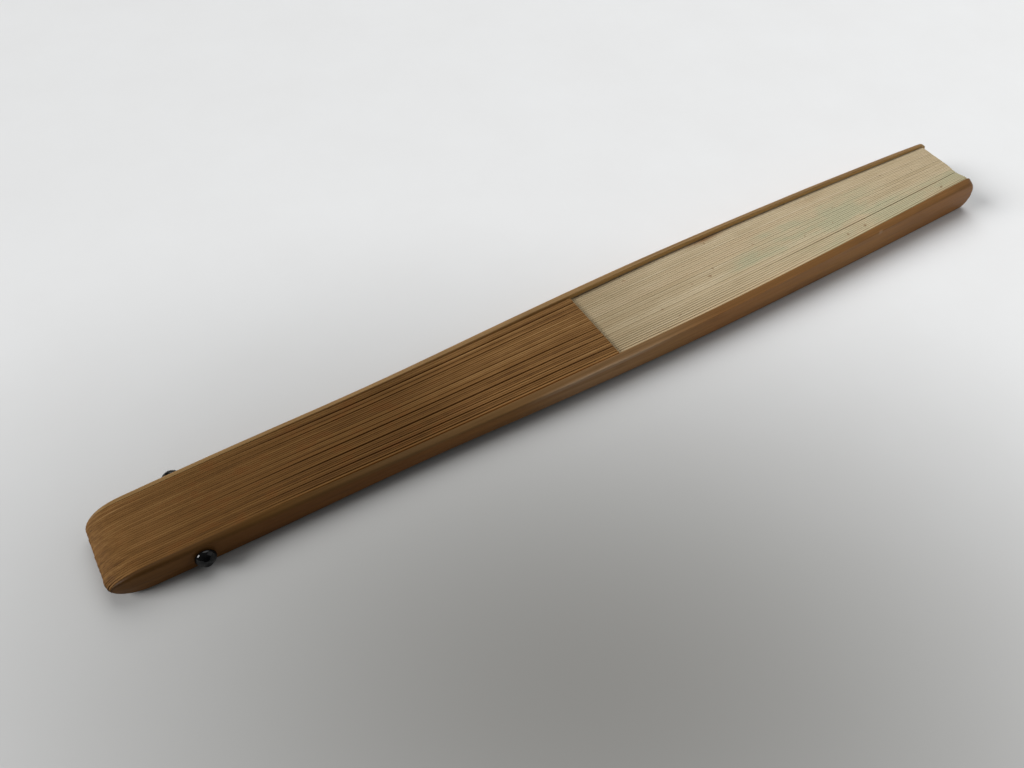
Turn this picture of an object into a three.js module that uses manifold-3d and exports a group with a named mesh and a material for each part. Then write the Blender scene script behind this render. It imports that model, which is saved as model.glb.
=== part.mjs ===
// Folding fan of bamboo and paper, closed and lying on its edge.
// Millimetres, +Z up, +X from the pivot end to the tip, Y across the stack of ribs.
// The origin is on the surface that the fan lies on, below the middle of its box.

import * as THREE from 'three';
import { mergeVertices } from 'three/addons/utils/BufferGeometryUtils.js';
import Module from 'manifold-3d';

const wasm = await Module();
wasm.setup();

// Places along a stick, measured from the pivot axis
const LENGTH = 228;
const TAIL = 17;
const TIP = LENGTH - TAIL;
const TAIL_ROUND = 8;
const TAIL_CURVE = TAIL_ROUND - TAIL;
const TIP_ROUND_UPPER = 3.6;
const FAR_TIP_ROUND_UPPER = 2.4;
const TIP_ROUND_LOWER = 2.0;
const SHOULDER = 92.4;
const LEAF_START = 93.1;
const LEAF_END = TIP - 2.1;
const STRIP_END = 200;

// Heights from a stick's middle line, up and down alike
const TAIL_HALF = 3.05;
const TIP_HALF = 4.8;
const REST_SLOPE = (TIP_HALF - TAIL_HALF) / TIP;
const TAIL_FLAT = [-6, 8];
const TIP_FLAT = [188, TIP - TIP_ROUND_UPPER];
const restLine = (u) => TAIL_HALF + REST_SLOPE * u;
const guardHalf = smooth([
  [TAIL_CURVE, 2.95],
  [TAIL_FLAT[0], restLine(TAIL_FLAT[0])],
  [TAIL_FLAT[1], restLine(TAIL_FLAT[1])],
  [43, 2.5],
  [92, 3.05],
  [140, 3.9],
  [TIP_FLAT[0], restLine(TIP_FLAT[0])],
  [TIP_FLAT[1], restLine(TIP_FLAT[1])],
]);
const ribHalf = smooth([[TAIL_CURVE, 2.88], [8, 3.0], [43, 2.3], [SHOULDER, 2.65]]);
const STRIP_HALF = [1.2, 1.1];

// The bow of the pack: half its width between the guards, and the guards' thickness
const BOW_STATIONS = [-TAIL, TAIL_CURVE, 25, 43, 60, 76, LEAF_START, 114, 140, 165, TIP_FLAT[0], TIP];
const packBow = smooth([[-TAIL, 7.8], [0, 8.0], [40, 8.8], [92, 9.9], [121, 10.3], [160, 9.7], [TIP, 7.9]]);
const packHalf = straightened(packBow, BOW_STATIONS);
const guardThick = smooth([
  [-16.2, 0.15],
  [-15.2, 0.45],
  [-14, 0.78],
  [-12, 1.08],
  [-6, 1.22],
  [8, 1.25],
  [40, 1.3],
  [72, 1.65],
  [100, 1.7],
  [125, 1.48],
  [165, 1.45],
  [TIP, 1.85],
]);
const GUARD_EDGE = 0.85;
const GUARD_CROWN = 0.14;
const GUARD_CLEAR = 0.04;
// The near guard's upper edge is planed down towards its outer face
const NEAR_EDGE = 0.3;
const nearBevel = smooth([[-12, 0], [5, 0.7], [90, 0.75], [155, 1.0]]);
// The far guard is pared thinner towards its tip
const farPared = smooth([[168, 0], [186, 0.19], [201, 0.33], [TIP, 0.7]]);
const TAIL_CORNER = 2.2;
const TAIL_CORNER_AT = 8.2;

// Ribs and leaf
const RIB_COUNT = 35;
const RIB_THICK = 0.4;
const STRIP_THICK = 0.18;
const EDGE_SHARE = 0.85;
const PITCHES_ACROSS = RIB_COUNT - 1 + 2 * EDGE_SHARE;
const RIB_SWAY = 0.028;
const RIB_UNEVEN = 0.05;
// The folds run out from the pivot, so that the leaf can open flat
const FOLD_RISE = 0.0199;
const FOLD_SHARE = 0.36;
const OUTER_FOLD_DROP = [0.5, 0.2];
const GLUED_RISE = 0.3;
const PAPER = 0.08;
const LEAF_CLEAR = 0.025;

// Pivot
const PIN_RADIUS = 1.0;
const HOLE_RADIUS = 1.08;
const HOLE_SIDES = 16;
const HEAD_RADIUS = 2.0;
const HEAD_RISE = 1.95;
const HEAD_BELLY = 0.16;
const HEAD_GAP = 0.08;
const HEAD_SIDES = 24;
const DIMPLE_RADIUS = 0.55;
const DIMPLE_DEPTH = 0.22;
const CAP_DEPTH = 1.3;
const CAP_CLEAR = 0.05;

// Round ends keep a small blunt face, and are followed in a few steps
const END_BLUNT = 1.012;
const ROUND_STEPS = [0, 0.07, 0.25, 0.55, 1];

const bamboo = new THREE.MeshStandardMaterial({ color: 0x8a5f33, roughness: 0.6, metalness: 0 });
const polishedBamboo = new THREE.MeshStandardMaterial({ color: 0x85512a, roughness: 0.35, metalness: 0 });
const blackHorn = new THREE.MeshStandardMaterial({ color: 0x14161a, roughness: 0.25, metalness: 0 });
const paper = new THREE.MeshStandardMaterial({ color: 0xc3b18d, roughness: 0.9, metalness: 0 });

// A smooth function of the place along the stick, through a few knots
function smooth(knots) {
  const places = knots.map((knot) => knot[0]);
  const values = knots.map((knot) => knot[1]);
  const spline = new THREE.CubicInterpolant(places, values, 1, [0]);
  return (u) => spline.evaluate(u)[0];
}

// The same function, straight between shared stations, so that nested pieces keep one bow
function straightened(curve, stations) {
  const chords = new THREE.LinearInterpolant(stations, stations.map(curve), 1, [0]);
  return (u) => chords.evaluate(u)[0];
}

// How much of a rounding's height is left near a stick's end
function rounding(fromEnd, length) {
  const s = Math.max(0, length - fromEnd) / (length * END_BLUNT);
  return Math.sqrt(1 - s * s);
}

// The tail is one full curve, and the tip is square with rounded corners
const tailRounding = (u, end) => rounding(u - end, TAIL_CURVE - end);
const tipTrim = (u, radius) => radius * (1 - rounding(TIP - u, radius));
const tailStations = (end) => ROUND_STEPS.map((step) => THREE.MathUtils.lerp(end, TAIL_CURVE, step));
const tipStations = (radius) => ROUND_STEPS.map((step) => TIP - step * radius).reverse();

// Seen from above, the corners of the pack's tail are rounded, so the outer sticks end a little sooner
function tailEnd(y) {
  const past = Math.max(0, Math.abs(y) - (TAIL_CORNER_AT - TAIL_CORNER));
  return -TAIL + TAIL_CORNER - Math.sqrt(TAIL_CORNER * TAIL_CORNER - past * past);
}

const pitch = (u) => (2 * packHalf(u)) / PITCHES_ACROSS;
const ramp = (u, from, to) => THREE.MathUtils.clamp((u - from) / (to - from), 0, 1);

// A repeatable value from -1 to 1 for the small differences between hand-split ribs
function uneven(index, salt) {
  const wave = Math.sin(index * 12.9898 + salt * 78.233) * 43758.5453;
  return 2 * (wave - Math.floor(wave)) - 1;
}

// A closed body through rings of [y, z] points at stations along the stick
function loft(stations, ringAt) {
  const rings = stations.map(ringAt);
  const count = rings[0].length;
  const positions = [];
  const index = [];
  rings.forEach((ring, j) => ring.forEach(([y, z]) => positions.push(stations[j], y, z)));
  for (let j = 0; j < rings.length - 1; j += 1) {
    for (let k = 0; k < count; k += 1) {
      const a = j * count + k;
      const b = j * count + ((k + 1) % count);
      index.push(a, b, b + count, a, b + count, a + count);
    }
  }
  const last = (rings.length - 1) * count;
  const cap = (ring) => THREE.ShapeUtils.triangulateShape(ring.map(([y, z]) => new THREE.Vector2(y, z)), []);
  cap(rings[0]).forEach(([a, b, c]) => index.push(a, c, b));
  cap(rings[rings.length - 1]).forEach(([a, b, c]) => index.push(last + a, last + b, last + c));
  const geometry = new THREE.BufferGeometry();
  geometry.setAttribute('position', new THREE.Float32BufferAttribute(positions, 3));
  geometry.setIndex(index);
  return geometry;
}

function toSolid(geometry) {
  const bare = geometry.clone();
  bare.deleteAttribute('normal');
  bare.deleteAttribute('uv');
  const merged = mergeVertices(bare);
  const vertProperties = Float32Array.from(merged.attributes.position.array);
  const triVerts = Uint32Array.from(merged.index.array);
  return new wasm.Manifold(new wasm.Mesh({ numProp: 3, vertProperties, triVerts }));
}

function fromSolid(solid) {
  const mesh = solid.getMesh();
  const geometry = new THREE.BufferGeometry();
  geometry.setAttribute('position', new THREE.Float32BufferAttribute(mesh.vertProperties, 3));
  geometry.setIndex(Array.from(mesh.triVerts));
  return geometry;
}

const drill = toSolid(new THREE.CylinderGeometry(HOLE_RADIUS, HOLE_RADIUS, 3 * packHalf(0), HOLE_SIDES));
const drilled = (geometry) => fromSolid(toSolid(geometry).subtract(drill));

function named(name, geometry, material) {
  const mesh = new THREE.Mesh(geometry, material);
  mesh.name = name;
  geometry.computeVertexNormals();
  return mesh;
}

// Inner rib: full height from its round tail to the shoulder, then a thin strip inside the leaf
const ribPlace = (number) => number - (RIB_COUNT + 1) / 2;

function rib(number) {
  const place = ribPlace(number);
  const end = tailEnd(place * pitch(-TAIL));
  const stations = [...tailStations(end), ...BOW_STATIONS.filter((u) => u > 0 && u < SHOULDER), SHOULDER];
  const strip = [...BOW_STATIONS.filter((u) => u >= LEAF_START && u < STRIP_END), STRIP_END];
  const sway = RIB_SWAY * uneven(number, 1);
  const growth = RIB_UNEVEN * uneven(number, 2);
  const ringAt = (u) => {
    const inLeaf = u >= LEAF_START;
    const along = ramp(u, LEAF_START, STRIP_END);
    const free = Math.sin(Math.PI * ramp(u, 0, LEAF_START));
    const bodyHalf = (ribHalf(u) + growth * free) * tailRounding(u, end);
    const half = inLeaf ? THREE.MathUtils.lerp(...STRIP_HALF, along) : bodyHalf;
    const t = (inLeaf ? STRIP_THICK : RIB_THICK) / 2;
    const y = place * pitch(u) + sway * free;
    return [[y - t, -half], [y + t, -half], [y + t, half], [y - t, half]];
  };
  return named(`rib_${String(number).padStart(2, '0')}`, drilled(loft([...stations, ...strip], ringAt)), bamboo);
}

// Guard: flat inner face, softly crowned outer face with rounded long edges, round ends
function guardInner(u) {
  const outermost = ((RIB_COUNT - 1) / 2) * pitch(u);
  const nearPivot = RIB_THICK / 2 + GUARD_CLEAR;
  return outermost + THREE.MathUtils.lerp(nearPivot, EDGE_SHARE * pitch(u), ramp(u, TAIL_FLAT[1], LEAF_START));
}

function guard(name, side) {
  const middle = BOW_STATIONS.filter((u) => u > TAIL_FLAT[1] && u <= TIP_FLAT[0]);
  const end = tailEnd(guardInner(-TAIL));
  const tipRound = side > 0 ? FAR_TIP_ROUND_UPPER : TIP_ROUND_UPPER;
  const stations = [...tailStations(end), ...TAIL_FLAT, ...middle, ...tipStations(tipRound)];
  const ringAt = (u) => {
    const full = guardHalf(u) * tailRounding(u, end);
    const top = full - tipTrim(u, tipRound);
    const bottom = tipTrim(u, TIP_ROUND_LOWER) - full;
    const middleZ = (top + bottom) / 2;
    const half = (top - bottom) / 2;
    const thick = guardThick(u) - (side > 0 ? farPared(u) : 0);
    const edge = Math.min(GUARD_EDGE, 0.6 * thick, 0.8 * half);
    const inner = guardInner(u);
    const straight = half - edge;
    const corner = (from, radius) => [0, 30, 60, 90].map((step) => {
      const angle = THREE.MathUtils.degToRad(from + step);
      const z = Math.sign(from + 45) * (half - radius) + radius * Math.sin(angle);
      return [inner + thick - radius + radius * Math.cos(angle), z];
    });
    const bevel = side > 0 ? 0 : Math.min(nearBevel(u), 0.5 * half);
    const upperEdge = side > 0 ? edge : Math.min(NEAR_EDGE, edge);
    const upper = corner(0, upperEdge).map(([y, z]) => [y, z - (bevel * (y - inner)) / thick]);
    const crown = [-0.5, 0, 0.5].map((z) => [inner + thick + GUARD_CROWN * (1 - 2 * z * z), z * straight]);
    const centred = [[inner, -half], ...corner(-90, edge), ...crown, ...upper, [inner, half]];
    const ring = centred.map(([y, z]) => [side * y, middleZ + z]);
    return side > 0 ? ring : ring.reverse();
  };
  return named(name, drilled(loft(stations, ringAt)), polishedBamboo);
}

// Leaf: one sheet folded to and fro, over each rib's strip and down between the ribs
function crestHeight(number, u) {
  const fromGuard = Math.min(number, RIB_COUNT + 1 - number);
  const offset = fromGuard === 0 ? GLUED_RISE : -(OUTER_FOLD_DROP[fromGuard - 1] ?? 0);
  return FOLD_RISE * u + offset;
}

function leaf() {
  const stations = [...BOW_STATIONS.filter((u) => u >= LEAF_START && u < LEAF_END), LEAF_END];
  const ringAt = (u) => {
    const valley = -FOLD_RISE * u;
    const t = PAPER / 2;
    const walls = [-guardInner(u) + LEAF_CLEAR + t];
    for (let number = 1; number <= RIB_COUNT; number += 1) {
      const y = ribPlace(number) * pitch(u);
      walls.push(y - FOLD_SHARE * pitch(u), y + FOLD_SHARE * pitch(u));
    }
    walls.push(guardInner(u) - LEAF_CLEAR - t);
    const last = walls.length - 1;
    const glued = crestHeight(0, u);
    const upper = [[walls[0] - t, glued], [walls[0] + t, glued]];
    const lower = [];
    for (let k = 0; k < last; k += 1) {
      const floor = k % 2 === 0;
      const outerLeft = floor ? walls[k] + t : walls[k] - t;
      const outerRight = floor ? walls[k + 1] - t : walls[k + 1] + t;
      const z = floor ? valley + PAPER : crestHeight((k + 1) / 2, u);
      upper.push([outerLeft, z], [outerRight, z]);
    }
    for (let k = last; k > 0; k -= 1) {
      const floor = k % 2 === 1;
      const innerRight = floor ? walls[k] + t : walls[k] - t;
      const innerLeft = floor ? walls[k - 1] - t : walls[k - 1] + t;
      const z = floor ? valley : crestHeight(k / 2, u) - PAPER;
      lower.push([innerRight, z], [innerLeft, z]);
    }
    upper.push([walls[last] - t, glued], [walls[last] + t, glued]);
    return [...upper, ...lower].reverse();
  };
  return named('leaf', loft(stations, ringAt), paper);
}

// Pivot: a pin with a round dimpled head, and a like head set on its far end
const headSeat = () => guardInner(0) + guardThick(0) + GUARD_CROWN + HEAD_GAP;

function headProfile(seat) {
  const reach = seat + HEAD_RISE;
  const belly = seat + HEAD_BELLY * HEAD_RISE;
  const dome = new THREE.EllipseCurve(0, belly, HEAD_RADIUS, reach - belly, 0, Math.PI / 2);
  const round = dome.getPoints(6).filter((point) => point.x > DIMPLE_RADIUS);
  const foot = new THREE.Vector2(0.8 * HEAD_RADIUS, seat);
  const dimple = [new THREE.Vector2(DIMPLE_RADIUS, reach), new THREE.Vector2(0, reach - DIMPLE_DEPTH)];
  return [foot, ...round, ...dimple];
}

function pivotPin() {
  const seat = headSeat();
  const head = headProfile(seat).map((point) => new THREE.Vector2(point.x, -point.y)).reverse();
  const end = seat + CAP_DEPTH - CAP_CLEAR;
  const shaft = [[PIN_RADIUS, -seat], [PIN_RADIUS, end - 0.2], [PIN_RADIUS - 0.2, end], [0, end]];
  const profile = [...head, ...shaft.map(([x, y]) => new THREE.Vector2(x, y))];
  return named('pivot_pin', new THREE.LatheGeometry(profile, HEAD_SIDES), blackHorn);
}

function pivotCap() {
  const seat = headSeat();
  const socket = PIN_RADIUS + CAP_CLEAR;
  const bore = [new THREE.Vector2(0, seat + CAP_DEPTH), new THREE.Vector2(socket, seat + CAP_DEPTH)];
  const profile = [...bore, new THREE.Vector2(socket, seat), ...headProfile(seat)];
  return named('pivot_cap', new THREE.LatheGeometry(profile, HEAD_SIDES), blackHorn);
}

const fan = new THREE.Group();
fan.add(guard('near_guard', -1), guard('far_guard', 1), leaf(), pivotPin(), pivotCap());
for (let number = 1; number <= RIB_COUNT; number += 1) {
  fan.add(rib(number));
}

// The sticks widen towards the tip, so the fan lies with its middle line tipped up a little
const tilt = Math.atan(REST_SLOPE);
fan.rotation.y = -tilt;
fan.updateMatrixWorld(true);
const box = new THREE.Box3().setFromObject(fan, true);
fan.position.set(-(box.min.x + box.max.x) / 2, 0, TAIL_HALF * Math.cos(tilt));

export default fan;
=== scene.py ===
import math

import bpy
import numpy as np
from mathutils import Matrix, Vector


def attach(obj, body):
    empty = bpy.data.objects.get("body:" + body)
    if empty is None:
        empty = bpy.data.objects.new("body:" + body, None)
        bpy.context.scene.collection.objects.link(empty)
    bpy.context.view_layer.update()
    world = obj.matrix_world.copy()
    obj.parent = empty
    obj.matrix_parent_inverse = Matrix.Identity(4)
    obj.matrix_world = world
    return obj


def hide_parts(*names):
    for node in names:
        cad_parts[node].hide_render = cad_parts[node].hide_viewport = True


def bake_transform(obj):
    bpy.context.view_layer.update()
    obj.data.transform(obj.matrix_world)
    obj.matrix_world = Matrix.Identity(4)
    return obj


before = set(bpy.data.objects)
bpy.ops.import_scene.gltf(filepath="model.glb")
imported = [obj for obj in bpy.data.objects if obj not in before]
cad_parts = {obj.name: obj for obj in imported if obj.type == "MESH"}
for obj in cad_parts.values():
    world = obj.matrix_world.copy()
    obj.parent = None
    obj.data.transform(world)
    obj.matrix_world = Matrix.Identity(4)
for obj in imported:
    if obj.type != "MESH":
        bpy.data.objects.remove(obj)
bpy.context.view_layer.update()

# Closed folding fan of bamboo and paper, lying on its edge. Lengths are in millimetres along the fan,
# u from the pivot to the tip, y across the stack of ribs and w up from the sticks' middle line.

MM_PER_METRE = 1000
PIVOT = (-97.0076, 0.0, 3.0499)

# Camera of the photograph
CAMERA_AZIMUTH = -34.72
CAMERA_ELEVATION = 50.86
CAMERA_ROLL = 3.70
CAMERA_PLACE = (-92.87, -97.38, 144.03)
CAMERA_FOCAL_PIXELS = 846.3
CAMERA_CLIP_START = 0.005
IMAGE_WIDTH = 1024
SENSOR_WIDTH = 36.0

# Sky: its colour, its brightest side, how far a direction faces that side where the sky is dimmest and
# where it is brightest, its levels there, and the level that the camera sees
SKY_COLOUR = (0.97, 0.98, 1.0, 1.0)
SKY_BRIGHT = (0.45, 0.62, 0.64)
SKY_FACING = (-0.35, 0.9)
SKY_LEVELS = (0.03, 0.14)
SKY_SEEN = 0.8

# Floor, in metres, with a painted soft shadow of something outside the scene
FLOOR_HALF = 3.0
FLOOR_DROP = 0.00003
FLOOR_DIM_AT = (-0.0506, -0.065, 0.0)
FLOOR_DIM_TURN = -0.605
FLOOR_DIM_STRETCH = 1.46
FLOOR_DIM_REACH = 0.132
FLOOR_SHADOW_COLOUR = (0.264, 0.260, 0.247, 1.0)

# Places along a stick
TAIL = 17.0
TIP = 211.0
TAIL_CURVE = -9.0
TIP_ROUND_UPPER = 3.6
FAR_TIP_ROUND_UPPER = 2.4
TIP_ROUND_LOWER = 2.0
SHOULDER = 92.85
LEAF_START = 93.1
LEAF_END = 208.9
STRIP_END = 200.0
END_BLUNT = 1.012
FAN_LENGTH = (TIP + TAIL) / MM_PER_METRE  # in metres, as the materials measure
PALE_SPOT_AT = 0.076  # along x, in metres too

# Heights
TAIL_HALF = 3.05
TIP_HALF = 4.8
REST_SLOPE = (TIP_HALF - TAIL_HALF) / TIP
TAIL_FLAT = (-6.0, 8.0)
TIP_FLAT = (188.0, TIP - TIP_ROUND_UPPER)
STRIP_HALF = (1.2, 1.1)

# Guards
GUARD_EDGE = 0.85
GUARD_CROWN = 0.14
GUARD_CLEAR = 0.04
GUARD_INNER_EDGE = 0.14
TAIL_CORNER = 2.2
TAIL_CORNER_AT = 8.2
GUARD_THINNEST = 0.1
# Limits for the edges and the bevel, as shares of a guard's thickness and of half its height
EDGE_LIMITS = (0.6, 0.8)
INNER_EDGE_LIMITS = (0.3, 0.15)
BEVEL_LIMIT = 0.5
# Points of a guard's outline: round an edge, up the face and along the top
CORNER_MIDDLE = 0.3
EDGE_STEPS = 6
FACE_PLACES = (-0.7, -0.35, 0.0, 0.35, 0.7)
TOP_SHARES = (0.75, 0.5, 0.25, 0.0)
# Where the colour of the face gives way to that of the edges, the inside and the painted highlight along
# the arris
EDGE_UP = (0.80, 0.98)
EDGE_ACROSS = (0.70, 0.98)
EDGE_PLANED = (0.1, 0.85)
INSIDE_DEPTH = 0.05
ARRIS_IN = 0.1
ARRIS_REACH = (0.12, 0.45)
GUARD_STATIONS = 73
GUARD_END_STEPS = 9
GUARD_SHARP = 38
# How the outline draws in at a guard's ends: (from the end, inset)
TAIL_RIM = ((0.0, 0.10), (0.04, 0.03))
TIP_RIM = ((0.2, 0.0), (0.06, 0.06), (0.0, 0.2))

# Ribs
RIB_COUNT = 35
LAST = RIB_COUNT + 1
RIB_THICK = 0.4
RIB_GAP = (0.014, 0.045)
WIDE_GAP = 0.24
# Gaps that are wider, by the rib before them, as shares of WIDE_GAP
WIDE_GAPS = {
    0: 1.2, 1: 0.7, 4: 1.0, 6: 0.6, 8: 0.2, 10: 1.0, 12: 0.2, 15: 0.9,
    17: 0.2, 20: 0.6, 22: 0.2, 25: 0.35, 28: 0.7, 30: 0.2, 32: 0.9, 35: 1.0,
}
# Where along the ribs all gaps widen, and where the wider ones open and close in part
GAPS_WIDEN = (10, 45)
WIDE_GAPS_OPEN = (0, 36)
WIDE_GAPS_CLOSE = (80, LEAF_START)
WIDE_GAPS_CLOSED = 0.35
RIB_END_UNEVEN = 0.12
RIB_EDGE = 0.045
RIB_EDGE_LIMIT = 0.4
STRIP_THICK = 0.18
EDGE_SHARE = 0.85
PITCHES_ACROSS = RIB_COUNT - 1 + 2 * EDGE_SHARE
RIB_SWAY = 0.028
RIB_SWAY_SHOWN = 0.3
RIB_UNEVEN = 0.05
RIB_TAIL_STEPS = 8
RIB_STATIONS = 31
STRIP_STATIONS = 16
RIB_SHARP = 40
# Where along a rib its own tone comes out in full, and where the tail's redder mottle and painted shade
# start and fade
RIB_TONE = 0.5
TONE_COMES = (5, 60)
TAIL_DARKENS = (-10, 4)
TAIL_FADES = (42, 68)

# Leaf
FOLD_RISE = 0.0199
FOLD_SHARE = 0.485
FOLD_ROUND = 0.022
OUTER_FOLD_DROP = (0.2, 0.08)
FAR_FOLD_DROP = 0.4
LOW_FOLD = 0.035
LOW_FOLD_OVER = 0.6
FOLD_UNEVEN = 0.008
FOLD_WANDER = 0.01
FOLD_TIGHT = 0.02
FOLD_LOOSE = 0.05
LOOSE_ENDS = (110, 150)
FOLD_TOP_STEPS = 6
SIDE_HEIGHTS = (0.05, 0.5)
# The end panels, which are glued to the guards, and the foot of the last one
GLUED_RISE = 0.06
GLUED_HEIGHTS = (0.35, 0.7, 1.0)
FOOT_SHARE = 0.8
FOOT_RISE = 0.05
PAPER = 0.05
LEAF_CLEAR = 0.03
LEAF_STATIONS = 36
LEAF_SHARP = 60
LEAF_START_UNEVEN = 0.03
LEAF_END_UNEVEN = 0.02
# The leaf's outer end across the pack: a hollow (depth, middle, width), a rise to the far guard, and a rise
# at the near guard (height, width)
END_HOLLOW = (0.55, 0.24, 0.13)
END_FAR_RISE = 0.25
END_NEAR_RISE = (0.35, 0.2)
CRACK_AFTER = 8
CRACK_WIDTH = 0.2
CRACK_OPENS = (118, 172)
CRACK_CLOSES = (192, LEAF_END)
CRACK_CLOSED = 0.4
# The washes of colour, which start on a slant, near the near guard and in the middle
WASH_SLANT = 2.5
NEAR_WASH_FADES = (-3.5, -1.5)
NEAR_WASH_STARTS = (132, 150)
NEAR_WASH_MIDDLE = -3.0
MIDDLE_WASH_STARTS = (133, 143)
MIDDLE_WASH_ENDS = (172, 192)
MIDDLE_WASH_FADES = (2.8, 5.0)
# Stains: (place along, place across, level), and their size along and across
STAINS = ((133.0, 9.7, 1.0), (165.0, 7.6, 0.3))
STAIN_SIZE = (4.5, 0.75)

# Pivot
PIN_RADIUS = 1.0
HOLE_RADIUS = 1.08
HEAD_RADIUS = 2.0
HEAD_RISE = 1.95
HEAD_BELLY = 0.16
HEAD_GAP = 0.08
DIMPLE_RADIUS = 0.72
DIMPLE_DEPTH = 0.28
CAP_DEPTH = 1.3
CAP_CLEAR = 0.05
HEAD_SIDES = 48
HEAD_STEPS = 16
DIMPLE_STEPS = 5
# The head's foot (share of the radius, above the seat) and the lip round its dimple (outside the dimple,
# above the lip)
HEAD_FOOT = ((0.8, 0.0), (0.92, 0.06))
HEAD_LIP = ((0.16, 0.0), (0.06, 0.02), (0.0, -0.01))
LIP_DROP = 0.03
LIP_WIDTH = 0.25
ON_AXIS = 1e-6
HOLE_SIDES = 32
DRILL_REACH = 1.5
PIVOT_SHARP = 50
# How the pin's free end is rounded: (inset, from the end)
PIN_RIM = ((0.0, 0.2), (0.06, 0.06), (0.2, 0.0))

# Salts of the small differences between ribs and between folds
RIB_SWAY_SALT = 1
RIB_GROWTH_SALT = 2
RIB_TONE_SALT = 4
RIB_END_SALT = 5
LOW_FOLD_SALT = 6
FOLD_HEIGHT_SALT = 7
FOLD_WANDER_SALT = 8
PAPER_TONE_SALT = 9
LEAF_START_SALT = 10
LEAF_END_SALT = 11
FOLD_TIGHT_SALT = 12


def smooth(knots):
    """A smooth function of the place along a stick, through a few knots."""
    places = np.array([knot[0] for knot in knots], float)
    values = np.array([knot[1] for knot in knots], float)
    last = len(places) - 1

    def curve(u):
        u = np.clip(np.asarray(u, float), places[0], places[last])
        after = np.clip(np.searchsorted(places, u, side="right"), 1, last)
        before = after - 1
        earlier = np.where(before > 0, before - 1, after)
        later = np.where(after < last, np.minimum(after + 1, last), before)
        start = places[before]
        end = places[after]
        half = (end - start) / 2
        lead = half / (start - places[earlier])
        trail = half / (places[later] - end)
        p = (u - start) / (end - start)
        at_earlier = -lead * p**3 + 2 * lead * p**2 - lead * p
        at_before = (1 + lead) * p**3 - (1.5 + 2 * lead) * p**2 + (lead - 0.5) * p + 1
        at_after = (1.5 + trail) * p**2 - (1 + trail) * p**3 + 0.5 * p
        at_later = trail * p**3 - trail * p**2
        return (at_earlier * values[earlier] + at_before * values[before]
                + at_after * values[after] + at_later * values[later])

    return curve


def rest_line(u):
    """Half a guard's height where it rests flat on the floor."""
    return TAIL_HALF + REST_SLOPE * u


guard_half = smooth([
    (TAIL_CURVE, 2.95),
    (TAIL_FLAT[0], rest_line(TAIL_FLAT[0])),
    (TAIL_FLAT[1], rest_line(TAIL_FLAT[1])),
    (43, 2.5),
    (92, 3.05),
    (140, 3.9),
    (TIP_FLAT[0], rest_line(TIP_FLAT[0])),
    (TIP_FLAT[1], rest_line(TIP_FLAT[1])),
])
rib_half = smooth([(TAIL_CURVE, 2.88), (8, 3.0), (43, 2.3), (SHOULDER, 2.65)])
pack_half = smooth([(-TAIL, 7.8), (0, 8.0), (40, 8.8), (92, 9.9), (121, 10.3), (160, 9.7), (TIP, 7.9)])
guard_thick = smooth([
    (-16.2, 0.15),
    (-15.2, 0.45),
    (-14, 0.78),
    (-12, 1.08),
    (-6, 1.22),
    (8, 1.25),
    (40, 1.3),
    (72, 1.65),
    (100, 1.7),
    (125, 1.48),
    (165, 1.45),
    (TIP, 1.85),
])
far_pared = smooth([(168, 0.0), (186, 0.19), (201, 0.33), (TIP, 0.7)])
near_bevel = smooth([(-12, 0.0), (5, 0.7), (90, 0.75), (155, 1.0)])
near_edge = smooth([(25, 0.7), (75, 0.3), (190, 0.3), (207, 0.7)])


def pitch(u):
    """The room across the pack for one rib."""
    return 2 * pack_half(u) / PITCHES_ACROSS


def ramp(u, start, end):
    return np.clip((u - start) / (end - start), 0.0, 1.0)


def ease(u, start, end):
    t = ramp(u, start, end)
    return t * t * (3 - 2 * t)


def lerp(a, b, t):
    return a + (b - a) * t


def rounding(from_end, length):
    """How much of its full height a rounded end has, from nearly 0 to 1."""
    s = np.maximum(0.0, length - from_end) / (length * END_BLUNT)
    return np.sqrt(1 - s * s)


def tail_end(y):
    """Where a stick's tail ends, for its place across the pack."""
    past = max(0.0, abs(y) - (TAIL_CORNER_AT - TAIL_CORNER))
    return -TAIL + TAIL_CORNER - math.sqrt(TAIL_CORNER**2 - past**2)


def tail_stations(end, steps):
    """Places round a tail, closer together towards its end."""
    angles = [math.pi / 2 * step / steps for step in range(steps + 1)]
    return [end + (TAIL_CURVE - end) * (1 - math.cos(angle)) for angle in angles]


def uneven(index, salt):
    """A repeatable value from -1 to 1 for the small differences between hand-split ribs."""
    wave = math.sin(index * 12.9898 + salt * 78.233) * 43758.5453
    return 2 * (wave - math.floor(wave)) - 1


def guard_inner(u):
    outermost = (RIB_COUNT - 1) / 2 * pitch(u)
    near_pivot = RIB_THICK / 2 + GUARD_CLEAR
    return outermost + lerp(near_pivot, EDGE_SHARE * pitch(u), ramp(u, TAIL_FLAT[1], LEAF_START))


TILT = math.atan(REST_SLOPE)


def to_world(points):
    """From (u, y, w) in millimetres to the shared frame in metres."""
    points = np.asarray(points, float)
    u, y, w = points[..., 0], points[..., 1], points[..., 2]
    x = PIVOT[0] + u * math.cos(TILT) - w * math.sin(TILT)
    z = PIVOT[2] + u * math.sin(TILT) + w * math.cos(TILT)
    return np.stack([x, y, z], axis=-1) / MM_PER_METRE


def new_object(name, points, faces):
    mesh = bpy.data.meshes.new(name)
    mesh.from_pydata([tuple(point) for point in to_world(points)], [], faces)
    mesh.validate()
    obj = bpy.data.objects.new(name, mesh)
    bpy.context.scene.collection.objects.link(obj)
    return obj


def loft_faces(stations, count):
    faces = []
    for j in range(stations - 1):
        for k in range(count):
            a = j * count + k
            b = j * count + (k + 1) % count
            faces.append((a, b, b + count, a + count))
    return faces


def set_float(obj, name, values):
    layer = obj.data.attributes.new(name, "FLOAT", "POINT")
    layer.data.foreach_set("value", np.asarray(values, np.float32))


def finish_shading(obj, angle):
    obj.data.shade_smooth()
    obj.data.set_sharp_from_angle(angle=math.radians(angle))


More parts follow.
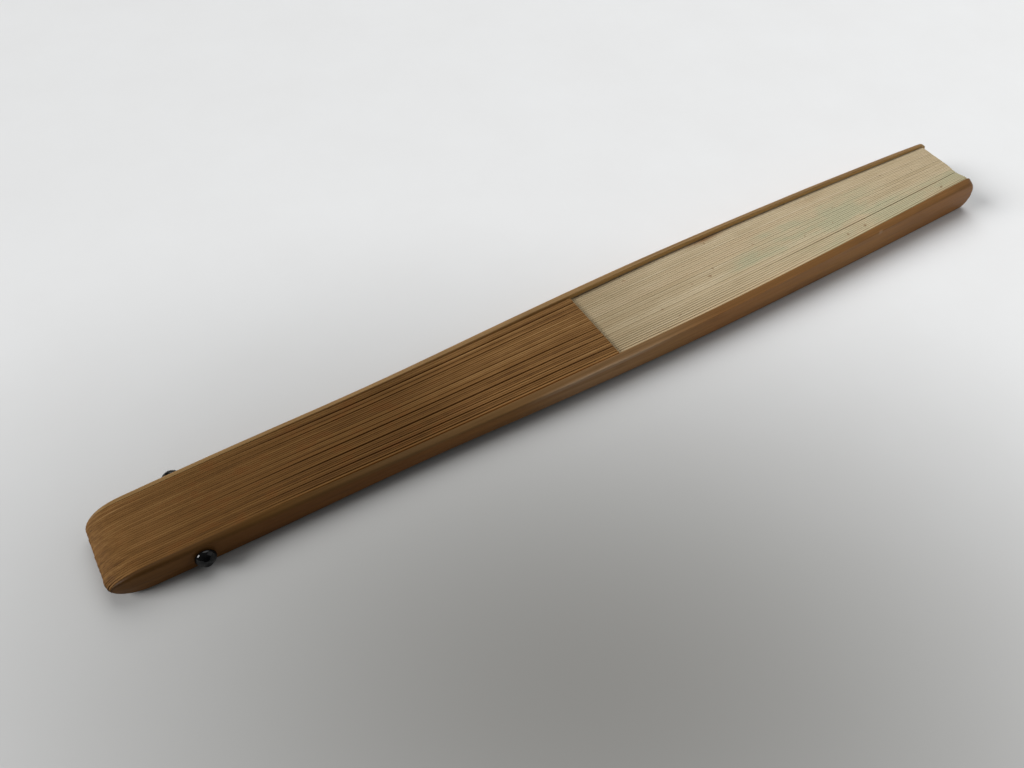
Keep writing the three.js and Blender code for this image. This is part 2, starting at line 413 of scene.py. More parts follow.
def along(obj):
    """Each vertex's place (u, y, w) in millimetres."""
    points = np.empty(len(obj.data.vertices) * 3)
    obj.data.vertices.foreach_get("co", points)
    points = points.reshape(-1, 3) * MM_PER_METRE - np.array(PIVOT)
    u = points[:, 0] * math.cos(TILT) + points[:, 2] * math.sin(TILT)
    w = points[:, 2] * math.cos(TILT) - points[:, 0] * math.sin(TILT)
    return u, points[:, 1], w


# Materials

def add(tree, kind, inputs=None, **settings):
    node = tree.nodes.new(kind)
    for key, value in settings.items():
        setattr(node, key, value)
    for key, value in (inputs or {}).items():
        socket = node.inputs[key]
        if isinstance(value, bpy.types.NodeSocket):
            tree.links.new(value, socket)
        else:
            socket.default_value = value
    return node


def noise(tree, coordinates, stretch, detail=3.0, rough=0.55, shift=0.0):
    inputs = {"Vector": coordinates, "Scale": stretch, "Location": (shift,) * 3}
    placed = add(tree, "ShaderNodeMapping", inputs).outputs["Vector"]
    inputs = {"Vector": placed, "Scale": 1.0, "Detail": detail, "Roughness": rough}
    return add(tree, "ShaderNodeTexNoise", inputs).outputs["Fac"]


def scaled(tree, value, low, high, to_low=0.0, to_high=1.0):
    inputs = {"Value": value, "From Min": low, "From Max": high, "To Min": to_low, "To Max": to_high}
    return add(tree, "ShaderNodeMapRange", inputs, interpolation_type="SMOOTHSTEP").outputs["Result"]


def maths(tree, operation, a, b):
    return add(tree, "ShaderNodeMath", {0: a, 1: b}, operation=operation).outputs["Value"]


def weighted(tree, *parts):
    """The sum of some values, each times its weight."""
    terms = [maths(tree, "MULTIPLY", value, weight) for value, weight in parts]
    total = terms[0]
    for term in terms[1:]:
        total = maths(tree, "ADD", total, term)
    return total


def mixed(tree, factor, a, b, blend="MIX"):
    node = add(tree, "ShaderNodeMix", {0: factor, 6: a, 7: b}, data_type="RGBA", blend_type=blend)
    return node.outputs[2]


def ramped(tree, value, stops):
    node = add(tree, "ShaderNodeValToRGB", {"Fac": value})
    elements = node.color_ramp.elements
    while len(elements) < len(stops):
        elements.new(0.5)
    for element, (place, colour) in zip(elements, stops):
        element.position = place
        element.color = (*colour, 1.0)
    return node.outputs["Color"]


def attribute(tree, name):
    return add(tree, "ShaderNodeAttribute", attribute_name=name).outputs["Fac"]


def new_material(name):
    material = bpy.data.materials.new(name)
    material.use_nodes = True
    tree = material.node_tree
    tree.nodes.clear()
    shader = add(tree, "ShaderNodeBsdfPrincipled")
    out = add(tree, "ShaderNodeOutputMaterial")
    tree.links.new(shader.outputs["BSDF"], out.inputs["Surface"])
    coordinates = add(tree, "ShaderNodeTexCoord").outputs["Object"]
    return material, tree, shader, coordinates


def bumped(tree, shader, height, strength, distance):
    inputs = {"Height": height, "Strength": strength, "Distance": distance}
    tree.links.new(add(tree, "ShaderNodeBump", inputs).outputs["Normal"], shader.inputs["Normal"])


def rib_material():
    material, tree, shader, place = new_material("bamboo_ribs")
    fibre = noise(tree, place, (24, 2300, 2300), 4.0, 0.6)
    drift = noise(tree, place, (10, 380, 300), 2.0, 0.5, 3.0)
    mottle = noise(tree, place, (190, 420, 420), 4.0, 0.6, 6.0)
    tone = attribute(tree, "tone")
    shade = weighted(tree, (fibre, 0.6), (drift, 0.15), (mottle, 0.25), (tone, 0.2))
    colour = ramped(tree, shade, [
        (0.28, (0.099, 0.044, 0.012)),
        (0.50, (0.190, 0.094, 0.029)),
        (0.66, (0.249, 0.134, 0.047)),
        (0.85, (0.347, 0.212, 0.093)),
    ])
    # Towards the tail the ribs have a redder mottle, their own colour, and are darkened, painted shade for
    # the dimmer light there
    red = maths(tree, "MULTIPLY", scaled(tree, mottle, 0.5, 0.68), attribute(tree, "tail"))
    colour = mixed(tree, maths(tree, "MULTIPLY", red, 0.5), colour, (0.190, 0.072, 0.019, 1.0))
    colour = mixed(tree, attribute(tree, "tail"), colour, (0.66, 0.63, 0.55, 1.0), "MULTIPLY")
    tree.links.new(colour, shader.inputs["Base Color"])
    tree.links.new(scaled(tree, fibre, 0.3, 0.7, 0.50, 0.68), shader.inputs["Roughness"])
    shader.inputs["Specular IOR Level"].default_value = 0.06
    bumped(tree, shader, fibre, 0.3, 0.00008)
    return material


def guard_material():
    material, tree, shader, place = new_material("bamboo_guards")
    fibre = noise(tree, place, (38, 2600, 2600), 4.0, 0.6)
    streak = noise(tree, place, (11, 900, 900), 3.0, 0.55, 5.0)
    blotch = noise(tree, place, (60, 260, 260), 3.0, 0.5, 9.0)
    x = add(tree, "ShaderNodeSeparateXYZ", {"Vector": place}).outputs["X"]
    along_guard = maths(tree, "MULTIPLY", maths(tree, "ADD", x, FAN_LENGTH / 2), 1 / FAN_LENGTH)
    shade = weighted(tree, (fibre, 0.4), (streak, 0.6))
    grain = ramped(tree, shade, [
        (0.30, (0.54, 0.53, 0.50)),
        (0.52, (0.78, 0.78, 0.78)),
        (0.80, (1.00, 1.00, 1.00)),
    ])
    # The face's and the bevel's colours along the guard are partly the bamboo's own and partly painted
    # light and shade: both are darker towards the tail, painted shade for the dimmer light there, and the
    # bevel, which faces up, is painted darker than the face
    face = ramped(tree, along_guard, [
        (0.00, (0.214, 0.098, 0.025)),
        (0.13, (0.229, 0.096, 0.026)),
        (0.25, (0.277, 0.118, 0.034)),
        (0.36, (0.320, 0.153, 0.048)),
        (0.43, (0.433, 0.247, 0.118)),
        (0.49, (0.460, 0.250, 0.107)),
        (0.55, (0.433, 0.220, 0.078)),
        (0.60, (0.435, 0.199, 0.064)),
        (0.80, (0.437, 0.210, 0.066)),
        (1.00, (0.394, 0.167, 0.042)),
    ])
    bevel = ramped(tree, along_guard, [
        (0.00, (0.060, 0.026, 0.006)),
        (0.04, (0.086, 0.040, 0.011)),
        (0.08, (0.125, 0.060, 0.019)),
        (0.13, (0.186, 0.090, 0.026)),
        (0.25, (0.184, 0.101, 0.040)),
        (0.36, (0.218, 0.117, 0.043)),
        (0.47, (0.272, 0.152, 0.066)),
        (0.53, (0.315, 0.180, 0.079)),
        (0.60, (0.312, 0.147, 0.048)),
        (0.70, (0.350, 0.166, 0.052)),
        (0.82, (0.362, 0.170, 0.052)),
        (1.00, (0.324, 0.150, 0.044)),
    ])
    face_painted_light_and_shade = mixed(tree, 1.0, face, grain, "MULTIPLY")
    bevel_and_painted_shade = mixed(tree, 1.0, bevel, grain, "MULTIPLY")
    pale_edge = ramped(tree, shade, [
        (0.32, (0.159, 0.087, 0.029)),
        (0.52, (0.244, 0.143, 0.055)),
        (0.75, (0.329, 0.208, 0.091)),
    ])
    # The bare inner face is paler bamboo, and is painted lighter still: painted light in the shaded recess
    # above the leaf
    inner = ramped(tree, shade, [(0.32, (0.480, 0.280, 0.100)), (0.75, (0.730, 0.470, 0.200))])
    edge = mixed(tree, attribute(tree, "pale"), bevel_and_painted_shade, pale_edge)
    colour = mixed(tree, attribute(tree, "edge"), face_painted_light_and_shade, edge)
    colour = mixed(tree, attribute(tree, "inside"), colour, inner)
    blotched = scaled(tree, blotch, 0.55, 0.75, 0.0, 0.25)
    colour = mixed(tree, blotched, colour, (0.110, 0.058, 0.022, 1.0))
    # The arris has a painted highlight about where the leaf starts, and one short pale spot further towards
    # the tip
    highlight_start = scaled(tree, x, -0.031, -0.018)
    highlight_end = scaled(tree, x, -0.008, 0.014, 1.0, 0.0)
    highlight_span = maths(tree, "MULTIPLY", highlight_start, highlight_end)
    from_pale_spot = maths(tree, "ABSOLUTE", maths(tree, "SUBTRACT", x, PALE_SPOT_AT), 0.0)
    highlight_and_spot = maths(tree, "MAXIMUM", highlight_span, scaled(tree, from_pale_spot, 0.0002, 0.0010, 0.6, 0.0))
    highlight_and_spot = maths(tree, "MULTIPLY", highlight_and_spot, attribute(tree, "arris"))
    painted_highlight_and_spot = maths(tree, "MULTIPLY", scaled(tree, fibre, 0.35, 0.62, 0.45, 1.0), highlight_and_spot)
    painted_highlight_and_spot = maths(tree, "MULTIPLY", painted_highlight_and_spot, 0.8)
    colour = mixed(tree, painted_highlight_and_spot, colour, (0.470, 0.335, 0.215, 1.0))
    tree.links.new(colour, shader.inputs["Base Color"])
    tree.links.new(scaled(tree, streak, 0.3, 0.7, 0.34, 0.50), shader.inputs["Roughness"])
    shader.inputs["Specular IOR Level"].default_value = 0.08
    bumped(tree, shader, fibre, 0.25, 0.00006)
    return material


def pivot_material():
    material, tree, shader, place = new_material("black_pivot")
    mottle = noise(tree, place, (900, 900, 900), 3.0, 0.6)
    scuff = noise(tree, place, (4000, 700, 4000), 2.0, 0.6, 2.0)
    colour = ramped(tree, mottle, [(0.35, (0.002, 0.002, 0.002)), (0.7, (0.006, 0.006, 0.006))])
    tree.links.new(colour, shader.inputs["Base Color"])
    tree.links.new(scaled(tree, scuff, 0.35, 0.75, 0.07, 0.15), shader.inputs["Roughness"])
    shader.inputs["Specular IOR Level"].default_value = 0.25
    bumped(tree, shader, scuff, 0.05, 0.00005)
    return material


def paper_material():
    material, tree, shader, place = new_material("leaf_paper")
    mottle = noise(tree, place, (60, 380, 120), 4.0, 0.6)
    fibre = noise(tree, place, (160, 1300, 1300), 4.0, 0.6, 4.0)
    streak = noise(tree, place, (9, 620, 40), 3.0, 0.55, 13.0)
    wash = noise(tree, place, (70, 240, 60), 4.0, 0.6, 7.0)
    dot = noise(tree, place, (520, 640, 520), 1.0, 0.4, 11.0)
    tone = attribute(tree, "tone")
    shade = weighted(tree, (mottle, 0.5), (fibre, 0.25), (streak, 0.25), (tone, 0.16))
    colour = ramped(tree, shade, [
        (0.30, (0.468, 0.369, 0.227)),
        (0.52, (0.560, 0.457, 0.296)),
        (0.75, (0.642, 0.542, 0.377)),
    ])
    warm = scaled(tree, streak, 0.45, 0.7, 0.0, 0.4)
    colour = mixed(tree, warm, colour, (0.545, 0.410, 0.255, 1.0))
    green = maths(tree, "MULTIPLY", scaled(tree, wash, 0.36, 0.60, 0.2, 1.0), attribute(tree, "wash"))
    green = maths(tree, "MULTIPLY", green, 0.95)
    colour = mixed(tree, green, colour, (0.465, 0.438, 0.285, 1.0))
    # Darker and browner towards the leaf's inner edge, and a little at its outer end
    colour = mixed(tree, attribute(tree, "leaf_darkening"), colour, (0.60, 0.57, 0.52, 1.0), "MULTIPLY")
    # Painted shade in the valleys and down the sides of the folds, none on their tops
    fold_shade = maths(tree, "MULTIPLY", attribute(tree, "fold"), 0.12)
    colour = mixed(tree, fold_shade, colour, (0.34, 0.255, 0.15, 1.0))
    stained = maths(tree, "MULTIPLY", attribute(tree, "stain"), 0.8)
    colour = mixed(tree, stained, colour, (0.30, 0.15, 0.055, 1.0))
    dotted = scaled(tree, dot, 0.76, 0.80, 0.0, 0.6)
    colour = mixed(tree, dotted, colour, (0.22, 0.13, 0.06, 1.0))
    tree.links.new(colour, shader.inputs["Base Color"])
    tree.links.new(scaled(tree, fibre, 0.3, 0.7, 0.80, 0.95), shader.inputs["Roughness"])
    shader.inputs["Specular IOR Level"].default_value = 0.15
    bumped(tree, shader, fibre, 0.15, 0.00005)
    return material


def floor_material():
    material, tree, shader, place = new_material("pale_floor")
    grain = noise(tree, place, (35, 35, 35), 4.0, 0.6)
    inputs = {
        "Vector": place,
        "Location": FLOOR_DIM_AT,
        "Rotation": (0.0, 0.0, FLOOR_DIM_TURN),
        "Scale": (FLOOR_DIM_STRETCH, 1.0, 1.0),
    }
    placed = add(tree, "ShaderNodeMapping", inputs, vector_type="TEXTURE").outputs["Vector"]
    away = add(tree, "ShaderNodeVectorMath", {0: placed}, operation="LENGTH").outputs["Value"]
    pale = ramped(tree, grain, [(0.3, (0.810, 0.814, 0.814)), (0.7, (0.828, 0.835, 0.837))])
    # The floor is darker in a soft patch near the camera: a painted shadow
    outside_painted_shadow = scaled(tree, away, 0.0, FLOOR_DIM_REACH)
    colour = mixed(tree, outside_painted_shadow, FLOOR_SHADOW_COLOUR, pale)
    tree.links.new(colour, shader.inputs["Base Color"])
    shader.inputs["Roughness"].default_value = 0.7
    shader.inputs["Specular IOR Level"].default_value = 0.2
    return material


RIBS = rib_material()
GUARDS = guard_material()
BLACK = pivot_material()
LEAF = paper_material()
FLOOR = floor_material()


def dress(obj, material, body, slot, *nodes):
    obj.data.materials.append(material)
    if body:
        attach(obj, body)
    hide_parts(*nodes)


# Sticks

def drilled(obj):
    """The pin's hole through a stick."""
    angles = (np.arange(HOLE_SIDES) + 0.5) * 2 * math.pi / HOLE_SIDES
    reach = DRILL_REACH * float(pack_half(0.0))
    flat = np.zeros(HOLE_SIDES)
    ring = HOLE_RADIUS * np.stack([np.cos(angles), flat, np.sin(angles)], axis=-1)
    points = np.concatenate([ring + (0, reach, 0), ring - (0, reach, 0)])
    faces = loft_faces(2, HOLE_SIDES)
    faces += [tuple(range(HOLE_SIDES))[::-1], tuple(range(HOLE_SIDES, 2 * HOLE_SIDES))]
    drill = new_object("drill", points, faces)
    cut = obj.modifiers.new("hole", "BOOLEAN")
    cut.operation = "DIFFERENCE"
    cut.solver = "EXACT"
    cut.object = drill
    bpy.context.view_layer.update()
    evaluated = obj.evaluated_get(bpy.context.evaluated_depsgraph_get())
    mesh = bpy.data.meshes.new_from_object(evaluated)
    solid = obj.data
    obj.modifiers.clear()
    obj.data = mesh
    mesh.name = obj.name
    bpy.data.meshes.remove(solid)
    drill_mesh = drill.data
    bpy.data.objects.remove(drill)
    bpy.data.meshes.remove(drill_mesh)


def capped_loft(name, rings):
    rings = np.asarray(rings)
    stations, count = rings.shape[:2]
    faces = loft_faces(stations, count)
    faces.append(tuple(range(count))[::-1])
    faces.append(tuple((stations - 1) * count + k for k in range(count)))
    return new_object(name, rings.reshape(-1, 3), faces)


def guard_span(u, end, side):
    """The lowest and highest places of a guard's outline."""
    full = guard_half(u) * rounding(u - end, TAIL_CURVE - end)
    tip_round = FAR_TIP_ROUND_UPPER if side > 0 else TIP_ROUND_UPPER
    top = full - tip_round * (1 - rounding(TIP - u, tip_round))
    bottom = TIP_ROUND_LOWER * (1 - rounding(TIP - u, TIP_ROUND_LOWER)) - full
    return bottom, top


def guard_ring(u, end, side, inset):
    """A guard's cross-section: rounded outside, and planed to a bevel above on the near guard."""
    bottom, top = (float(height) for height in guard_span(u, end, side))
    middle = (top + bottom) / 2
    half = (top - bottom) / 2 - inset
    inner = float(guard_inner(u)) + inset
    pared = float(far_pared(u)) if side > 0 else 0.0
    thick = max(GUARD_THINNEST, float(guard_thick(u)) - pared - 2 * inset)
    lower = min(GUARD_EDGE, EDGE_LIMITS[0] * thick, EDGE_LIMITS[1] * half)
    upper = lower if side > 0 else min(float(near_edge(u)), lower)
    bevel = 0.0 if side > 0 else min(float(near_bevel(u)), BEVEL_LIMIT * half)
    small = min(GUARD_INNER_EDGE, INNER_EDGE_LIMITS[0] * thick, INNER_EDGE_LIMITS[1] * half)
    tuck = CORNER_MIDDLE * small
    points = [(0.0, -half + small), (tuck, -half + tuck), (small, -half)]
    for step in range(EDGE_STEPS + 1):
        angle = math.radians(90 * step / EDGE_STEPS - 90)
        y = thick - lower + lower * math.cos(angle)
        points.append((y, lower - half + lower * math.sin(angle)))
    for z in FACE_PLACES:
        crown = GUARD_CROWN * (1 - 2 * z * z) * min(1.0, thick)
        points.append((thick + crown, lerp(lower - half, half - upper - bevel, (1 + z) / 2)))
    for step in range(EDGE_STEPS + 1):
        angle = math.radians(90 * step / EDGE_STEPS)
        y = thick - upper + upper * math.cos(angle)
        points.append((y, half - upper + upper * math.sin(angle) - bevel * y / thick))
    for share in TOP_SHARES:
        y = lerp(small, thick - upper, share)
        points.append((y, half - bevel * y / thick))
    points += [(tuck, half - tuck), (0.0, half - small)]
    ring = [(u, side * (inner + y), middle + z) for y, z in points]
    return ring if side > 0 else ring[::-1]


def guard(name, side, body):
    end = tail_end(float(guard_inner(-TAIL)))
    stations = tail_stations(end, GUARD_END_STEPS)[1:]
    stations += [float(u) for u in np.linspace(TAIL_CURVE, TIP - TIP_ROUND_UPPER, GUARD_STATIONS)[1:-1]]
    angles = [math.pi / 2 * step / GUARD_END_STEPS for step in range(GUARD_END_STEPS)]
    stations += [TIP - TIP_ROUND_UPPER * (1 - math.sin(angle)) for angle in angles]
    plan = [(end + past, inset) for past, inset in TAIL_RIM]
    plan += [(u, 0.0) for u in stations]
    plan += [(TIP - before, inset) for before, inset in TIP_RIM]
    obj = capped_loft(f"bamboo_{name}", [guard_ring(u, end, side, inset) for u, inset in plan])
    drilled(obj)
    u, y, w = along(obj)
    bottom, top = guard_span(np.clip(u, end, TIP), end, side)
    half = (top - bottom) / 2
    w = w - (top + bottom) / 2
    thick = guard_thick(u)
    outward = np.abs(y) - guard_inner(u)
    across = outward / thick
    far = 1.0 if side > 0 else 0.0
    bevel = (1 - far) * np.minimum(near_bevel(u), BEVEL_LIMIT * half)
    rounded = ease(np.abs(w) / half, *EDGE_UP) * (1 - ease(across, *EDGE_ACROSS))
    planed = 1 - ease(half - bevel * across - w, *(share * near_edge(u) for share in EDGE_PLANED))
    set_float(obj, "edge", np.where((w > 0) & (side < 0), planed, rounded))
    set_float(obj, "inside", 1 - ease(outward, 0.0, INSIDE_DEPTH))
    set_float(obj, "pale", np.full(len(u), far))
    # Where the painted highlight and the pale spot lie along the near guard's arris
    from_arris = np.hypot(outward - thick + ARRIS_IN, w - half + bevel + ARRIS_IN)
    set_float(obj, "arris", (1 - ease(from_arris, *ARRIS_REACH)) * (1 - far))
    finish_shading(obj, GUARD_SHARP)
    dress(obj, GUARDS, body, "bamboo_guard", name)


def rib_ring(u, y, half, thick):
    t = thick / 2
    r = min(RIB_EDGE, RIB_EDGE_LIMIT * t, RIB_EDGE_LIMIT * half)
    corner = [(0.0, r), (CORNER_MIDDLE * r, CORNER_MIDDLE * r), (r, 0.0)]
    points = []
    for sy, sz, flip in ((-1, -1, False), (1, -1, True), (1, 1, False), (-1, 1, True)):
        corners = corner[::-1] if flip else corner
        points += [(u, y + sy * (t - a), sz * (half - b)) for a, b in corners]
    return points


def gap_open(u):
    """How far the wider gaps are open along the ribs: closed at the pivot, less so at the leaf."""
    closed = WIDE_GAPS_CLOSED * float(ease(u, *WIDE_GAPS_CLOSE))
    return float(ease(u, *WIDE_GAPS_OPEN)) * (1 - closed)


def rib_thinned(u):
    """How much thinner a rib is than its share of the pack, because a few gaps are wider."""
    return WIDE_GAP * sum(WIDE_GAPS.values()) / RIB_COUNT * gap_open(u)


def rib_shift(number, u):
    """How far a rib leans from its even place, because a few gaps are wider."""
    before = sum(share for gap, share in WIDE_GAPS.items() if gap < number)
    return WIDE_GAP * before * gap_open(u) - (number - 0.5) * rib_thinned(u)


def rib_thick(u):
    return float(pitch(u)) - lerp(*RIB_GAP, float(ease(u, *GAPS_WIDEN))) - rib_thinned(u)


def rib(number):
    place = number - LAST / 2
    end = tail_end(place * float(pitch(-TAIL)))
    end += RIB_END_UNEVEN * (1 + uneven(number, RIB_END_SALT)) / 2
    stations = tail_stations(end, RIB_TAIL_STEPS)
    stations += list(np.linspace(TAIL_CURVE, SHOULDER, RIB_STATIONS)[1:])
    stations += list(np.linspace(LEAF_START, STRIP_END, STRIP_STATIONS))
    sway = RIB_SWAY * uneven(number, RIB_SWAY_SALT)
    growth = RIB_UNEVEN * uneven(number, RIB_GROWTH_SALT)
    rings = []
    for u in stations:
        free = math.sin(math.pi * float(ramp(u, 0, LEAF_START)))
        y = place * float(pitch(u))
        if u >= LEAF_START:
            half = lerp(*STRIP_HALF, float(ramp(u, LEAF_START, STRIP_END)))
            rings.append(rib_ring(u, y, half, STRIP_THICK))
        else:
            half = (float(rib_half(u)) + growth * free) * float(rounding(u - end, TAIL_CURVE - end))
            y += RIB_SWAY_SHOWN * sway * free + rib_shift(number, u)
            rings.append(rib_ring(u, y, half, rib_thick(u)))
    name = f"rib_{number:02d}"
    obj = capped_loft(f"bamboo_{name}", rings)
    drilled(obj)
    u = along(obj)[0]
    tone = RIB_TONE * uneven(number, RIB_TONE_SALT)
    set_float(obj, "tone", tone * (0.8 + 0.2 * ease(u, *TONE_COMES)))
    # The tail's redder mottle and painted shade
    set_float(obj, "tail", (1 - ease(u, *TAIL_FADES)) * (0.53 + 0.47 * ease(u, *TAIL_DARKENS)))
    finish_shading(obj, RIB_SHARP)
    dress(obj, RIBS, name, "bamboo_rib", name)


# Leaf: one sheet folded over each rib's strip and down between the ribs. Each fold has a panel that goes
# with its rib, over the strip, and a panel that joins it to the next one.

def fold_drop(number):
    """How much lower a fold's top is than its full rise."""
    from_guard = min(number, LAST - number)
    if from_guard == 0:
        return -GLUED_RISE
    drop = OUTER_FOLD_DROP[from_guard - 1] if from_guard <= len(OUTER_FOLD_DROP) else 0.0
    if number > from_guard:
        drop *= FAR_FOLD_DROP
    low = LOW_FOLD if uneven(number, LOW_FOLD_SALT) > LOW_FOLD_OVER else 0.0
    return drop + low + FOLD_UNEVEN * (1 + uneven(number, FOLD_HEIGHT_SALT))


def leaf_places(number):
    """Places along a fold, from the leaf's inner edge to its outer one."""
    start = LEAF_START + LEAF_START_UNEVEN * uneven(number, LEAF_START_SALT)
    across = number / LAST
    depth, middle, width = END_HOLLOW
    end = LEAF_END - depth * math.exp(-(((across - middle) / width) ** 2)) + END_FAR_RISE * across**3
    height, reach = END_NEAR_RISE
    end += height * (1 - float(ease(across, 0.0, reach)))
    end += LEAF_END_UNEVEN * uneven(number, LEAF_END_SALT)
    return np.linspace(start, end, LEAF_STATIONS)


def crack(u):
    """The width of the open gap between two bundles of folds, near the tip."""
    return CRACK_WIDTH * ease(u, *CRACK_OPENS) * (1 - CRACK_CLOSED * ease(u, *CRACK_CLOSES))


def bundle_room(number, u):
    """The room across for one fold; those on the near side of the crack are pressed together."""
    if number <= CRACK_AFTER:
        return pitch(u) - crack(u) / (CRACK_AFTER + EDGE_SHARE - 0.5)
    return pitch(u)


def fold_middle(number, u):
    """Where a fold's middle lies across the pack."""
    if number <= CRACK_AFTER:
        y = -guard_inner(u) + (number + EDGE_SHARE - 1) * bundle_room(number, u)
    else:
        y = (number - LAST / 2) * pitch(u)
    wander = FOLD_WANDER * uneven(number, FOLD_WANDER_SALT)
    return y + wander * np.sin(math.pi * ramp(u, LEAF_START, LEAF_END))


def fold_half(number, u):
    """Half a fold's width across the pack."""
    loose = FOLD_LOOSE * (1 - ease(u, *LOOSE_ENDS)) if number <= CRACK_AFTER else 0.0
    share = FOLD_SHARE - loose - FOLD_TIGHT * max(0.0, uneven(number, FOLD_TIGHT_SALT))
    return share * bundle_room(number, u) - PAPER / 2


def panel(name, lines):
    """A thin closed sheet whose middle passes through lines of points along the leaf."""
    lines = np.asarray(lines)
    offsets = sheet_offsets(lines)
    outer = lines + offsets
    inner = (lines - offsets)[::-1]
    rings = np.concatenate([outer, inner]).transpose(1, 0, 2)
    stations, count = rings.shape[:2]
    faces = loft_faces(stations, count)
    last = (stations - 1) * count
    for k in range(len(lines) - 1):
        quad = (k, k + 1, count - 2 - k, count - 1 - k)
        faces.append(quad[::-1])
        faces.append(tuple(last + index for index in quad))
    return new_object(name, rings.reshape(-1, 3), faces)


def sheet_offsets(lines):
    """Half the paper's thickness, square to the sheet across the leaf."""
    step = np.zeros_like(lines)
    step[1:-1] = lines[2:] - lines[:-2]
    step[0] = lines[1] - lines[0]
    step[-1] = lines[-1] - lines[-2]
    across = step[..., 1]
    up = step[..., 2]
    length = np.hypot(across, up)
    zero = np.zeros_like(across)
    return np.stack([zero, up / length, -across / length], axis=-1) * PAPER / 2


def line(u, y, w):
    return np.stack([u, y + 0 * u, w + 0 * u], axis=-1)


def paint(obj, number, fold):
    """Where the paper is washed with colour, painted with shade along its folds, darker towards its inner
    edge and stained, and how its tone differs.
    """
    u, y, w = along(obj)
    near = ease(u + WASH_SLANT * (y - NEAR_WASH_MIDDLE), *NEAR_WASH_STARTS)
    near = near * (1 - ease(y, *NEAR_WASH_FADES))
    middle = ease(u - WASH_SLANT * (y - 1.0), *MIDDLE_WASH_STARTS) * (1 - ease(u, *MIDDLE_WASH_ENDS))
    middle = middle * (1 - ease(np.abs(y - 0.8), *MIDDLE_WASH_FADES))
    set_float(obj, "tone", np.full(len(u), 0.6 * uneven(number, PAPER_TONE_SALT)))
    set_float(obj, "fold", fold)
    set_float(obj, "wash", np.clip(0.85 * near + middle, 0, 1))
    leaf_darkening = 0.85 - 0.5 * ease(u, 93, 125) - 0.15 * ease(u, 120, 160)
    set_float(obj, "leaf_darkening", leaf_darkening + 0.1 * ease(u, 185, 209))
    length, width = STAIN_SIZE
    stain = 0.0
    for at, across, level in STAINS:
        stain = stain + level * np.exp(-(((u - at) / length) ** 2) - ((y - across) / width) ** 2)
    set_float(obj, "stain", stain * (w > 0))
    finish_shading(obj, LEAF_SHARP)


def rib_panel(number, body):
    """From the valley before a rib up its near side and over the fold's top."""
    u = leaf_places(number)
    valley = -FOLD_RISE * u
    if number == 1:
        before = -guard_inner(u) + LEAF_CLEAR + PAPER / 2
    else:
        before = fold_middle(number - 1, u) + fold_half(number - 1, u)
    crest = FOLD_RISE * u - fold_drop(number)
    if number == LAST:
        wall = guard_inner(u) - LEAF_CLEAR - PAPER / 2
        lines = [line(u, before, valley), line(u, lerp(before, wall, FOOT_SHARE), valley)]
        lines.append(line(u, wall, valley + FOOT_RISE))
        lines += [line(u, wall, lerp(valley, crest, t)) for t in GLUED_HEIGHTS]
        fold = [1, 1, 0.6, 0, 0, 0.3]
    else:
        middle = fold_middle(number, u)
        half = fold_half(number, u)
        lines = [line(u, before, valley), line(u, middle - half, valley)]
        lines += [line(u, middle - half, lerp(valley, crest, t)) for t in SIDE_HEIGHTS]
        fold = [1, 1, 0.6, 0]
        for step in range(FOLD_TOP_STEPS + 1):
            angle = math.pi * (1 - step / FOLD_TOP_STEPS)
            height = crest - FOLD_ROUND * (1 - math.sin(angle))
            lines.append(line(u, middle + half * math.cos(angle), height))
            fold.append(abs(math.cos(angle)) ** 3)
    obj = panel(f"leaf_fold_{number:02d}", lines)
    paint(obj, number, np.tile(np.array(fold + fold[::-1]), LEAF_STATIONS))
    dress(obj, LEAF, body, "paper_leaf", "leaf")


def far_panel(number):
    """From the far side of a fold's top down to the next valley."""
    upper_u = leaf_places(number)
    lower_u = leaf_places(number + 1)
    if number == 0:
        upper_y = -guard_inner(upper_u) + LEAF_CLEAR + PAPER / 2
        lower_y = -guard_inner(lower_u) + LEAF_CLEAR + PAPER / 2
        offset = -fold_drop(0)
    else:
        upper_y = fold_middle(number, upper_u) + fold_half(number, upper_u)
        lower_y = fold_middle(number, lower_u) + fold_half(number, lower_u)
        offset = -fold_drop(number) - FOLD_ROUND
    top = line(upper_u, upper_y, FOLD_RISE * upper_u + offset)
    foot = line(lower_u, lower_y, -FOLD_RISE * lower_u)
    obj = panel(f"leaf_side_{number:02d}", [top, foot])
    paint(obj, number, np.tile(np.array([0.6, 1.0, 1.0, 0.6]), LEAF_STATIONS))
    dress(obj, LEAF, None, "paper_leaf", "leaf")
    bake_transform(obj)


# Pivot

def turned(name, profile):
    """A body turned about the pin's axis from (radius, height along y) points."""
    profile = np.asarray(profile, float)
    angles = np.arange(HEAD_SIDES) * 2 * math.pi / HEAD_SIDES
    points = []
    rings = []
    for radius, height in profile:
        if radius < ON_AXIS:
            rings.append([len(points)])
            points.append((0.0, height, 0.0))
        else:
            rings.append(list(range(len(points), len(points) + HEAD_SIDES)))
            points += [(radius * math.cos(a), height, radius * math.sin(a)) for a in angles]
    faces = []
    for lower, upper in zip(rings, rings[1:]):
        for k in range(HEAD_SIDES):
            after = (k + 1) % HEAD_SIDES
            a, b = lower[k % len(lower)], lower[after % len(lower)]
            c, d = upper[after % len(upper)], upper[k % len(upper)]
            faces.append(tuple(dict.fromkeys((a, d, c, b))))
    return new_object(name, points, faces)


